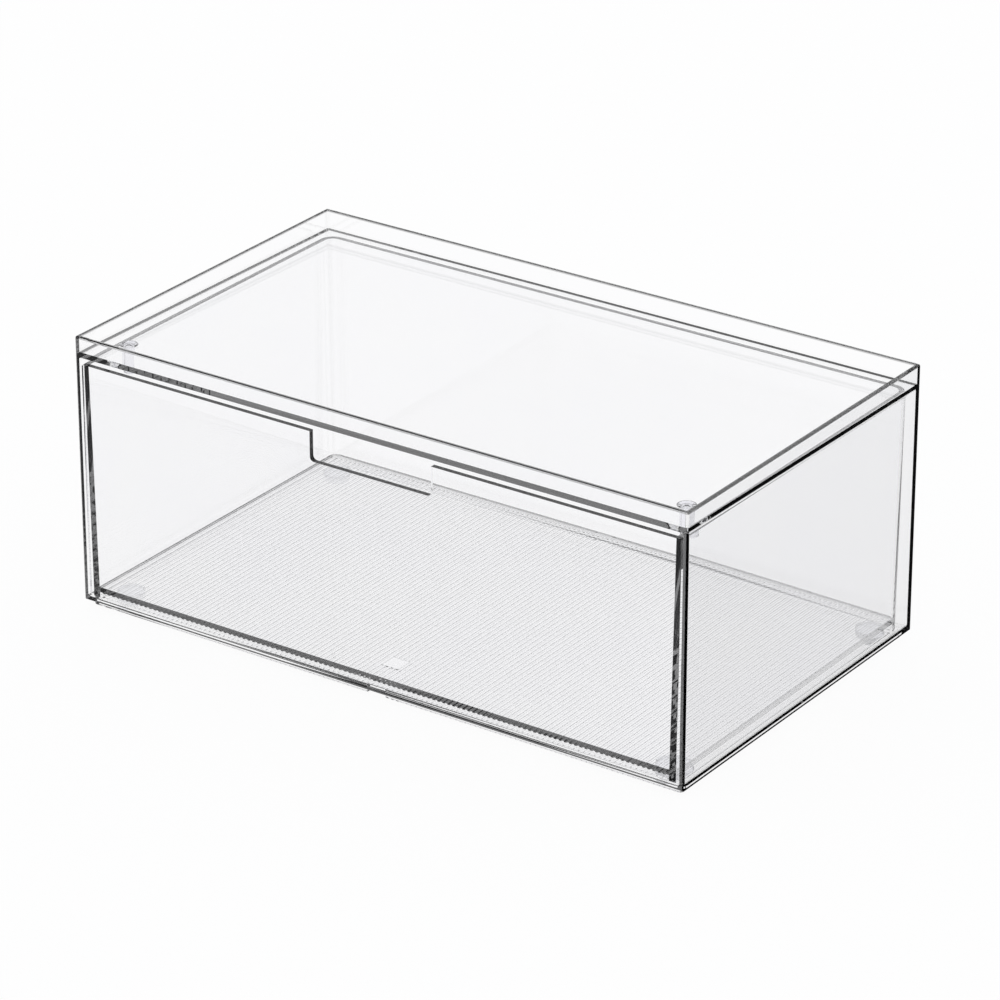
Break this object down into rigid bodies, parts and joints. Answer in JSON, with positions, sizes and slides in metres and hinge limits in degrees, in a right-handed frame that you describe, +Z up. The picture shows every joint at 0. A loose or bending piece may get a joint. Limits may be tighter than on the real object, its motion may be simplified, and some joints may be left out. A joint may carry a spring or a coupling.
{
  "type": "stackable drawer box",
  "caption": "Clear stackable box with one pull-out drawer, a finger notch in the drawer front, a stacking rim on top and a plinth with soft feet below.",
  "frame": {"origin": "middle of the footprint, on the surface that the feet stand on", "axes": "+X to the right when facing the drawer front, +Y to the back, +Z up; the drawer opens towards -Y"},
  "size_m": [0.305, 0.1764, 0.1256],
  "materials": {
    "case_plastic": "clear gloss",
    "drawer_plastic": "clear gloss",
    "pin_plastic": "clear gloss",
    "soft_feet": "clear satin"
  },
  "bodies": {
    "case": {"case_shell": "case_plastic", "stop_pin_left": "pin_plastic", "stop_pin_right": "pin_plastic", "foot_front_left": "soft_feet", "foot_front_right": "soft_feet", "foot_rear_left": "soft_feet", "foot_rear_right": "soft_feet"},
    "drawer": {"drawer_tray": "drawer_plastic"}
  },
  "joints": [
    {"name": "drawer_slide", "type": "slide", "parent": "case", "child": "drawer", "axis": [0, -1, 0], "range_m": [0, 0.1485]}
  ]
}
